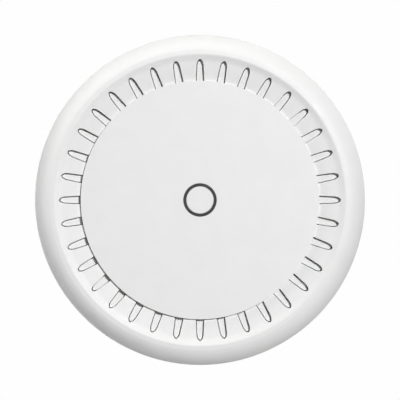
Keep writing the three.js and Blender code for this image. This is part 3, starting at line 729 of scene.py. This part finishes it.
def slot_outline():
    """The slot's edge as (radial, sideways) points, once round, with the slot pointing along X."""
    centre = SLOT_END - SLOT_END_LENGTH
    side = []
    for i in range(SIDE_STEPS):
        radius = SLOT_START + (centre - SLOT_START) * i / SIDE_STEPS
        side.append((radius, slot_half_width(radius)))
    arc_steps = 2 * FLANK_STEPS + ACROSS_STEPS
    arc = ellipse((centre, 0), SLOT_END_LENGTH, SLOT_END_HALF, 90, -90, arc_steps)
    other = [(x, -y) for x, y in reversed(side)]
    inner = []
    for i in range(1, ACROSS_STEPS):
        inner.append((SLOT_START, SLOT_HALF_AT_START * (2 * i / ACROSS_STEPS - 1)))
    return side + arc + other + inner


def sector_outline():
    """The sector's border, one point for each point of the slot's edge."""
    centre = SLOT_END - SLOT_END_LENGTH
    radial = []
    for i in range(SIDE_STEPS):
        radial.append((SECTOR_INNER + (centre - SECTOR_INNER) * i / SIDE_STEPS, HALF_SECTOR))
    for i in range(FLANK_STEPS):
        radial.append((centre + (SECTOR_OUTER - centre) * i / FLANK_STEPS, HALF_SECTOR))
    across = []
    for i in range(ACROSS_STEPS + 1):
        across.append((SECTOR_OUTER, HALF_SECTOR * (1 - 2 * i / ACROSS_STEPS)))
    inner = []
    for i in range(1, ACROSS_STEPS):
        inner.append((SECTOR_INNER, HALF_SECTOR * (2 * i / ACROSS_STEPS - 1)))
    border = radial + across + [(r, -a) for r, a in reversed(radial)] + inner
    return [(r * math.cos(a), r * math.sin(a)) for r, a in border]


def slot_sector(bm, angle):
    """One thirty-sixth of the dish with its slot: face, rounded edge, slot walls and inner face."""
    edge, border = slot_outline(), sector_outline()
    face_edge = grown(edge, SLOT_EDGE)
    layers = []
    for share in (1.0, 0.8, 0.6, 0.42, 0.27, 0.15, 0.06):
        layers.append((blended(face_edge, border, share), 0.0))
    for step in range(5):
        turn = math.radians(90 * step / 4)
        layers.append((grown(edge, SLOT_EDGE * (1 - math.sin(turn))), SLOT_EDGE * (1 - math.cos(turn))))
    for depth in (0.9, 1.5, WALL):
        layers.append((edge, depth))
    for share in (0.12, 0.4, 0.7, 1.0):
        layers.append((blended(edge, border, share), WALL))
    cosine, sine = math.cos(angle), math.sin(angle)
    rows = []
    for outline, depth in layers:
        row = []
        for x, y in outline:
            z = dish_height(math.hypot(x, y)) + depth
            row.append(add_point(bm, x * cosine - y * sine, x * sine + y * cosine, z))
        rows.append(row)
    for first, second in zip(rows, rows[1:]):
        join_rows(bm, first, second, True)


def rim_outline():
    """From the sector's outer edge over the crest and the side to the seam, and back along the inside."""
    start = (SECTOR_OUTER, dish_height(SECTOR_OUTER))
    face = [start] + [point for point in FACE if point[0] > SECTOR_OUTER + 0.02]
    inside = list(reversed(offset_line(face, WALL)))
    lip = SEAM_Z - LIP_GAP
    seam = rounded([
        (OUTER_RADIUS - 0.02, EQUATOR_Z + 1), (SEAM_RADIUS, lip, 0.35), (SEAM_RADIUS - WALL - 0.3, lip),
    ])
    tongue = [
        (LIP_OUTER, lip + LIP_RISE), (LIP_INNER, lip + LIP_RISE), (LIP_INNER, lip - LIP_ROOT),
        (SEAM_RADIUS - WALL, lip - LIP_FOOT),
    ]
    return face + seam + tongue + inside[:-1] + [(face[0][0], face[0][1] + WALL)]


def make_front_cover(materials):
    bm = bmesh.new()
    for i in range(SLOT_COUNT):
        slot_sector(bm, 2 * math.pi * i / SLOT_COUNT)
    turn_outline(bm, rim_outline())
    hole = RING_OUTER + COVER_HOLE_GAP
    seat = DISH_Z + DISC_SEAT_DEPTH
    middle = rounded([
        (SECTOR_INNER, DISH_Z), (DISC_SEAT_RADIUS, DISH_Z, 0.15), (DISC_SEAT_RADIUS, seat, 0.15),
        (hole, seat), (hole, seat + WALL), (SECTOR_INNER, DISH_Z + WALL),
    ])
    turn_outline(bm, middle)
    cover = finished(bm, "front_cover_shell")
    place(cover, "housing", "white_plastic", materials["white_plastic"], "front_cover")


def make_centre_disc(materials):
    hole = RING_OUTER + DISC_HOLE_GAP
    under = DISH_Z - DISC_LIFT
    back = top("centre_disc")
    outline = rounded([
        (hole, back), (hole, DISC_FACE_Z, 0.12), (DISC_RADIUS, DISC_FACE_Z, 0.1),
        (DISC_RADIUS, under, 0.12), (DISC_HUB_RADIUS, under), (DISC_HUB_RADIUS, back),
    ])
    disc = finished(turn_outline(bmesh.new(), outline, closed=True), "centre_disc_plate")
    place(disc, "housing", "white_plastic", materials["disc_plastic"], "centre_disc")


def pad_height(radius):
    """Height of a tongue's face, which slopes almost like the dish."""
    return DISH_Z + PAD_DEPTH + PAD_SLOPE * (radius - DISH_EDGE)


def pad_sector(bm, angle):
    """One thirty-sixth of the baffle's face with the tongue that stands in a slot."""
    border, foot = sector_outline(), grown(slot_outline(), -PAD_GAP)
    spine_end = SLOT_END - SLOT_END_LENGTH
    spine = [(min(x, spine_end), 0) for x, y in foot]
    base = [(blended(foot, border, share), BAFFLE_Z) for share in (1.0, 0.5, 0.12, 0.0)]
    tongue = []
    for step in range(4):
        turn = math.radians(90 * step / 3)
        tongue.append((grown(foot, -PAD_EDGE * (1 - math.cos(turn))), PAD_EDGE * (1 - math.sin(turn))))
    for share in (0.3, 0.65, 1.0):
        tongue.append((blended(tongue[3][0], spine, share), 0.0))
    cosine, sine = math.cos(angle), math.sin(angle)
    rows = []
    for outline, z in base:
        rows.append([add_point(bm, x * cosine - y * sine, x * sine + y * cosine, z) for x, y in outline])
    for outline, drop in tongue:
        rows.append([add_point(bm, x * cosine - y * sine, x * sine + y * cosine, pad_height(x) + drop)
                     for x, y in outline])
    for first, second in zip(rows, rows[1:]):
        join_rows(bm, first, second, True)


def make_baffle(materials):
    bm = bmesh.new()
    for i in range(SLOT_COUNT):
        pad_sector(bm, 2 * math.pi * i / SLOT_COUNT)
    back = BAFFLE_Z + BAFFLE_THICKNESS
    outline = rounded([
        (SECTOR_OUTER, BAFFLE_Z), (BAFFLE_OUTER, BAFFLE_Z, 0.3), (BAFFLE_OUTER, back, 0.3),
        (BAFFLE_STEP, back, 0.3), (SECTOR_INNER, BAFFLE_SEAT_BACK_Z, 0.3),
        (BAFFLE_INNER, BAFFLE_SEAT_BACK_Z, 0.3), (BAFFLE_INNER, BAFFLE_SEAT_Z, 0.3),
        (BAFFLE_SEAT_OUTER, BAFFLE_SEAT_Z, 0.3), (SECTOR_INNER, BAFFLE_Z),
    ])
    turn_outline(bm, outline)
    baffle = finished(bm, "vent_baffle_ring")
    place(baffle, "housing", "white_plastic", materials["white_plastic"], "vent_baffle")


# ---------------------------------------------------------------- light ring and mode button

def make_light_ring(materials):
    outline = rounded([
        (RING_INNER, RING_STEP_Z), (RING_INNER, DISC_FACE_Z, 0.1), (RING_OUTER, DISC_FACE_Z, 0.1),
        (RING_OUTER, RING_FLANGE_LOW), (RING_FLANGE_RADIUS, RING_FLANGE_LOW, 0.2),
        (RING_FLANGE_RADIUS, RING_FLANGE_HIGH, 0.2), (RING_TUBE_OUTER, RING_FLANGE_HIGH, 0.3),
        (RING_TUBE_OUTER, RING_TUBE_TOP, 0.2), (RING_TUBE_INNER, RING_TUBE_TOP, 0.2),
        (RING_TUBE_INNER, RING_STEP_Z, 0.1),
    ])
    ring = finished(turn_outline(bmesh.new(), outline, SMALL_FINE, closed=True), "light_ring_guide")
    place(ring, "housing", "smoked_plastic", materials["smoked_plastic"], "light_ring")


def make_mode_button(materials):
    cap = RING_INNER - CAP_GAP
    stem_end = top("mode_button")
    outline = rounded([
        (0, DISC_FACE_Z), (cap, DISC_FACE_Z, 0.18), (cap, CAP_BACK_Z), (CAP_FLANGE_RADIUS, CAP_BACK_Z, 0.1),
        (CAP_FLANGE_RADIUS, CAP_FLANGE_TOP, 0.2), (CAP_STEM_RADIUS, CAP_FLANGE_TOP, 0.4),
        (CAP_STEM_RADIUS, stem_end, 0.3), (0, stem_end),
    ])
    button = finished(turn_outline(bmesh.new(), outline, SMALL_FINE), "mode_button_cap")
    place(button, "mode_button", "white_plastic", materials["disc_plastic"], "mode_button")


# ---------------------------------------------------------------- rear cover

BAY_X = 24.0
BAY_LOW = 18.0
BAY_HIGH = 58.0
BAY_FLOOR = -20.4
BAY_WALL = 1.8
BAY_UNDERSIDE = bottom("rear_cover")
JACK_EDGE = 17.2                    # half of the opening that the two sockets look through
PLUG_NOTCH_Y = 20.4
JACK_CUT_LOW, JACK_CUT_HIGH = -23, -8.6
RESET_X, RESET_Z, RESET_HOLE = 21.5, -18.0, 1.6
RESET_CUT_DEPTH = 4
SIDE_PULLS = ((88.5, BACK_Z), (SEAM_RADIUS, -8.5))
CASE_POST_RADIUS = 4.4
CASE_POST_LOW = -11.7
CASE_HEAD_HOLE = 3.1
CASE_SHANK_HOLE = 1.8
CASE_SHANK_LOW, CASE_SHANK_HIGH = -15, -5
MARK_DEPTH = 0.35
RELEASE_MARK_RADIUS = 59.6
RELEASE_MARK_ANGLE = 8              # half of the arrow's length, in degrees

KEYHOLE_HALF_ANGLE = 4.6
KEYHOLE_INNER = 47.4
KEYHOLE_STEM_OUTER = 51.7
KEYHOLE_LUG_OUTER = 55.6


def arrow_outlines(middle, radius, half_angle, direction):
    """A bent arrow about the origin: its shaft and its head, as closed outlines."""
    shaft_end = middle + direction * half_angle * 0.45
    shaft_start = middle - direction * half_angle
    shaft = bent_loop([
        (shaft_start, radius - 0.6, 0.2), (shaft_end, radius - 0.6, 0.2),
        (shaft_end, radius + 0.6, 0.2), (shaft_start, radius + 0.6, 0.2),
    ], radius)
    tip = middle + direction * half_angle
    head = bent_loop([
        (shaft_end + direction * 0.3, radius - 1.9, 0.25), (tip, radius, 0.25),
        (shaft_end + direction * 0.3, radius + 1.9, 0.25),
    ], radius)
    return shaft, head


def keyhole_outline(hook_angle):
    """A window that passes a hook's lug, and the slot that its stem turns along."""
    half = KEYHOLE_HALF_ANGLE
    entry = hook_angle - TWIST_ANGLE
    return bent_loop([
        (entry - half, KEYHOLE_INNER, 0.8), (hook_angle + half, KEYHOLE_INNER, 1.5),
        (hook_angle + half, KEYHOLE_STEM_OUTER, 1.5), (entry + half, KEYHOLE_STEM_OUTER, 0.4),
        (entry + half, KEYHOLE_LUG_OUTER, 0.8), (entry - half, KEYHOLE_LUG_OUTER, 0.8),
    ], HOOK_MIDDLE)


def make_rear_cover(materials):
    side = bezier((BACK_FLAT_RADIUS, BACK_Z), *SIDE_PULLS, (SEAM_RADIUS, SEAM_Z), 30)
    inside = list(reversed(offset_line(side, -WALL)))
    under = RECESS_Z - WALL
    outline = rounded([
        (0, RECESS_Z), (RECESS_RADIUS, RECESS_Z, 0.8), (RECESS_RADIUS, BACK_Z, 0.5), *side[:-1],
        (SEAM_RADIUS, SEAM_Z, 0.3), (SEAM_RADIUS - WALL, SEAM_Z, 0.2), *inside[1:],
        (RECESS_RADIUS + WALL, BACK_Z - WALL, 0.4), (RECESS_RADIUS + WALL, under, 1.2), (0, under),
    ])
    shell = solid_piece(turn_outline(bmesh.new(), braced(outline, 0.4, 2.5)), "rear_cover_shell")
    half_box = BAY_X + BAY_WALL
    bay_box = rectangle(-half_box, half_box, BAY_LOW - BAY_WALL, BAY_HIGH + BAY_WALL, 4)
    joined = [bar(bay_box, BAY_UNDERSIDE, RECESS_Z - 0.7, 0.5)]
    removed = [pocket_cutter(rectangle(-BAY_X, BAY_X, BAY_LOW, BAY_HIGH, 3), BAY_FLOOR, RECESS_Z, 0.5, 0.8)]
    for angle in CASE_SCREW_ANGLES:
        x, y = spot(CASE_SCREW_RADIUS, angle)
        joined.append(bar(circle(x, y, CASE_POST_RADIUS), CASE_POST_LOW, BACK_Z - 0.6))
        removed.append(pocket_cutter(circle(x, y, CASE_HEAD_HOLE), CASE_SEAT_Z, BACK_Z, 0.35, 0.2))
        removed.append(straight_cutter(circle(x, y, CASE_SHANK_HOLE), CASE_SHANK_LOW, CASE_SHANK_HIGH))
    aperture = rectangle(-JACK_EDGE, JACK_EDGE, BAY_LOW - BAY_WALL - 1, PLUG_NOTCH_Y, 0.3)
    removed.append(straight_cutter(aperture, JACK_CUT_LOW, JACK_CUT_HIGH))
    for hook_angle in HOOK_ANGLES:
        removed.append(hole_cutter(keyhole_outline(hook_angle), under, RECESS_Z, 0.3))
        middle = hook_angle - RELEASE_MARK_ANGLE
        for mark in arrow_outlines(middle, RELEASE_MARK_RADIUS, RELEASE_MARK_ANGLE, -1):
            removed.append(pocket_cutter(mark, RECESS_Z - MARK_DEPTH, RECESS_Z, 0.05, 0.1))
    for tool in joined:
        combine(shell, tool, "UNION")
    for tool in removed:
        combine(shell, tool, "DIFFERENCE")
    mouth, bore = circle(0, 0, RESET_HOLE + 0.3), circle(0, 0, RESET_HOLE)
    reset = solid_piece(layered(bmesh.new(), [
        (mouth, -1), (mouth, 0), (bore, 0.3), (bore, RESET_CUT_DEPTH),
    ]), "tool")
    reset.data.transform(Matrix.Translation((RESET_X * MM, BAY_LOW * MM, RESET_Z * MM)) @
                         Matrix.Rotation(math.radians(90), 4, "X"))
    combine(shell, reset, "DIFFERENCE")
    place(smoothed(shell, 35), "housing", "white_plastic", materials["white_plastic"], "rear_cover")


# ---------------------------------------------------------------- ceiling plate

HOOK_HALF_ANGLE = 4
STEM_INNER, STEM_OUTER = 48, 51.2
LUG_INNER, LUG_OUTER = 49, 55
LUG_GAP = 0.3                       # between a lug and the rear cover's floor
LUG_HEIGHT = 1.8

RIB_OUTER, RIB_INNER = 16, 14       # a stiffening ring under the plate
RIB_HEIGHT = 1.5
CABLE_OPENING = (-18, 18, 20, 52, 4)
BOX_SLOT_X = 41.65                  # half of a single-gang box's screw spacing
BOX_SLOT_HALF_LENGTH = 4.5
BOX_SLOT_HALF_WIDTH = 2.2
ROUND_HOLES = ((26, -28), (34, 38))
ROUND_HOLE_RADIUS = 2.25
EJECTOR_MARKS = ((12, -48), (52, 14), (20, 4), (46, -26))
EJECTOR_RADIUS = 2.6
EJECTOR_DEPTH = 0.12
TICK_RADIUS = 57.5
TICK_HALF_WIDTH, TICK_HALF_LENGTH = 0.3, 3.0
LOCK_MARKS = (210, 330)
LOCK_MARK_RADIUS = 53
LOCK_MARK_ANGLE = 10


def hook_parts(angle):
    """A hook's stem and the lug that reaches out from its foot."""
    start, end = angle - HOOK_HALF_ANGLE, angle + HOOK_HALF_ANGLE
    lug_top = RECESS_Z - WALL - LUG_GAP
    stem = bent_loop([
        (start, STEM_INNER, 0.4), (end, STEM_INNER, 0.4), (end, STEM_OUTER, 0.4), (start, STEM_OUTER, 0.4),
    ], HOOK_MIDDLE)
    lug = bent_loop([
        (start, LUG_INNER, 0.4), (end, LUG_INNER, 0.4), (end, LUG_OUTER, 0.8), (start, LUG_OUTER, 0.8),
    ], HOOK_MIDDLE)
    return [
        bar(stem, lug_top - 1.7, -PLATE_THICKNESS + 0.6, 0.15),
        bar(lug, lug_top - LUG_HEIGHT, lug_top, 0.25),
    ]


def make_ceiling_plate(materials):
    skirt = PLATE_RADIUS - PLATE_SKIRT_WALL
    under = -PLATE_THICKNESS
    rib = under - RIB_HEIGHT
    outline = rounded([
        (0, 0), (PLATE_RADIUS, 0, 0.6), (PLATE_RADIUS, PLATE_SKIRT_Z, 0.4), (skirt, PLATE_SKIRT_Z, 0.4),
        (skirt, under, 0.6), (RIB_OUTER, under, 0.3), (RIB_OUTER, rib, 0.3), (RIB_INNER, rib, 0.3),
        (RIB_INNER, under, 0.3), (0, under),
    ])
    plate = solid_piece(turn_outline(bmesh.new(), braced(outline, 0.4, 2.5)), "ceiling_plate_moulding")
    removed = [hole_cutter(rectangle(*CABLE_OPENING), under, 0, 0.4)]
    for side in (-1, 1):
        low_x, high_x = side * BOX_SLOT_X - BOX_SLOT_HALF_LENGTH, side * BOX_SLOT_X + BOX_SLOT_HALF_LENGTH
        box_slot = rectangle(low_x, high_x, -BOX_SLOT_HALF_WIDTH, BOX_SLOT_HALF_WIDTH, 2.19)
        removed.append(hole_cutter(box_slot, under, 0))
        for x, y in ROUND_HOLES:
            removed.append(hole_cutter(circle(side * x, y, ROUND_HOLE_RADIUS), under, 0))
        for x, y in EJECTOR_MARKS:
            removed.append(pocket_cutter(circle(side * x, y, EJECTOR_RADIUS), -EJECTOR_DEPTH, 0, 0.02, 0.05))
    for angle in (0, 90, 180, 270):
        x, y = spot(TICK_RADIUS, angle)
        across, along = TICK_HALF_LENGTH, TICK_HALF_WIDTH
        if angle % 180:
            across, along = along, across
        tick = rectangle(x - across, x + across, y - along, y + along, 0.25)
        removed.append(pocket_cutter(tick, -MARK_DEPTH, 0, 0.03, 0.1))
    for middle in LOCK_MARKS:
        for mark in arrow_outlines(middle, LOCK_MARK_RADIUS, LOCK_MARK_ANGLE, 1):
            removed.append(pocket_cutter(mark, -MARK_DEPTH, 0, 0.05, 0.1))
    for tool in removed:
        combine(plate, tool, "DIFFERENCE")
    for angle in HOOK_ANGLES:
        for tool in hook_parts(angle):
            combine(plate, tool, "UNION")
    place(smoothed(plate, 35), "ceiling_plate", "grey_plastic", materials["grey_plastic"], "ceiling_plate")


# ---------------------------------------------------------------- screws and reset button

HEAD_RADIUS = 2.6
HEAD_HEIGHT = 1.9
THREAD_PITCH = 1.0
THREAD_CORE = 0.7                   # core and neck as shares of the thread's radius
NECK = 0.85
CROSS_REACH = 1.45
CROSS_HALF = 0.36
CROSS_DEPTH = 1.15
CROSS_TURN = 20                     # degrees
SCREW_TURN = 37                     # degrees from one screw to the next, so that they don't line up

PIN_RADIUS = 1.3
PIN_COLLAR_RADIUS = 2.2
PIN_COLLAR_LOW, PIN_COLLAR_HIGH = 14.7, 15.9


def screw_mesh(head_low, tip, shank):
    """A pan-head screw standing on the axis, head up, with a thread and a cross recess."""
    outline = [(0, tip), (shank * 0.3, tip + 0.3), (shank * 0.62, tip + 1.6)]
    height = tip + 1.9
    while height < head_low - 1.6:
        core = shank * THREAD_CORE
        outline += [(shank, height), (core, height + 0.35), (core, height + 0.6)]
        height += THREAD_PITCH
    head_top = head_low + HEAD_HEIGHT
    neck = shank * NECK
    outline += [(neck, head_low - 0.6), (neck, head_low)]
    head = rounded([(neck, head_low), (HEAD_RADIUS, head_low, 0.15), (HEAD_RADIUS, head_low + 0.9, 0.35)])
    dome_start = (HEAD_RADIUS - 0.12, head_low + 1.0)
    dome = bezier(dome_start, (2.2, head_top - 0.25), (1.3, head_top), (0, head_top), 8)
    screw = solid_piece(turn_outline(bmesh.new(), outline + head[1:-1] + dome, segments=40), "tool")
    for turn in (0, 90):
        wide = rectangle(-CROSS_REACH, CROSS_REACH, -CROSS_HALF, CROSS_HALF, 0.1)
        narrow = [(x * 0.55, y * 0.8) for x, y in wide]
        recess = solid_piece(layered(bmesh.new(), [(wide, head_top + 0.5), (wide, head_top - 0.1),
                                                   (narrow, head_top - CROSS_DEPTH)]), "tool")
        recess.data.transform(Matrix.Rotation(math.radians(turn + CROSS_TURN), 4, "Z"))
        combine(screw, recess, "DIFFERENCE")
    mesh = screw.data
    bpy.data.objects.remove(screw)
    return mesh


def make_screws(materials):
    kinds = (
        ("case_screw", CASE_SCREW_RADIUS, CASE_SCREW_ANGLES, 1.4),
        ("board_screw", BOARD_SCREW_RADIUS, BOARD_SCREW_ANGLES, 1.2),
    )
    for kind, radius, angles, shank in kinds:
        first = f"{kind}_1"
        standing = screw_mesh(top(first) - HEAD_HEIGHT, bottom(first), shank)
        for i, angle in enumerate(angles):
            x, y = spot(radius, angle)
            mesh = standing.copy()
            turned = Matrix.Rotation(math.radians(SCREW_TURN * i), 4, "Z")
            mesh.transform(Matrix.Translation((x * MM, y * MM, 0)) @ turned)
            piece = bpy.data.objects.new(f"{kind}_head_and_thread_{i + 1}", mesh)
            bpy.context.scene.collection.objects.link(piece)
            place(smoothed(piece), "housing", "screw_steel", materials["screw_steel"], f"{kind}_{i + 1}")


def make_reset_button(materials):
    """Drawn standing up, then laid along Y with its face in the reset hole."""
    low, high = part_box("reset_button")
    back, face = low.y / MM, high.y / MM
    outline = rounded([
        (0, back), (PIN_RADIUS, back, 0.2), (PIN_RADIUS, PIN_COLLAR_LOW),
        (PIN_COLLAR_RADIUS, PIN_COLLAR_LOW, 0.2), (PIN_COLLAR_RADIUS, PIN_COLLAR_HIGH, 0.2),
        (PIN_RADIUS, PIN_COLLAR_HIGH, 0.1), (PIN_RADIUS, face, 0.35),
        (0.55, face), (0.4, face - 0.25), (0, face - 0.3),
    ])
    piece = finished(turn_outline(bmesh.new(), outline, segments=48), "reset_button_pin")
    piece.data.transform(Matrix.Translation((RESET_X * MM, 0, RESET_Z * MM)) @
                         Matrix.Rotation(math.radians(-90), 4, "X"))
    place(piece, "reset_button", "black_plastic", materials["black_plastic"], "reset_button")


# ---------------------------------------------------------------- CAD pieces that stay

def dress_cad_nodes(materials):
    """Every CAD node that still shows gets rounded edges and its slot's material."""
    slots = {entry["node"]: entry["material_slot"] for entry in frame["record"]["subparts"]}
    for name, node in frame["nodes"].items():
        if node.hide_render:
            continue
        node.data.materials.clear()
        node.data.materials.append(materials[slots[name]])
        bevel = node.modifiers.new("eased_edges", "BEVEL")
        bevel.width = 0.08 * MM
        bevel.segments = 2
        bevel.limit_method = "ANGLE"
        bevel.angle_limit = math.radians(40)


materials = make_materials()
make_studio()
make_front_cover(materials)
make_centre_disc(materials)
make_baffle(materials)
make_light_ring(materials)
make_mode_button(materials)
make_rear_cover(materials)
make_ceiling_plate(materials)
make_screws(materials)
make_reset_button(materials)
dress_cad_nodes(materials)
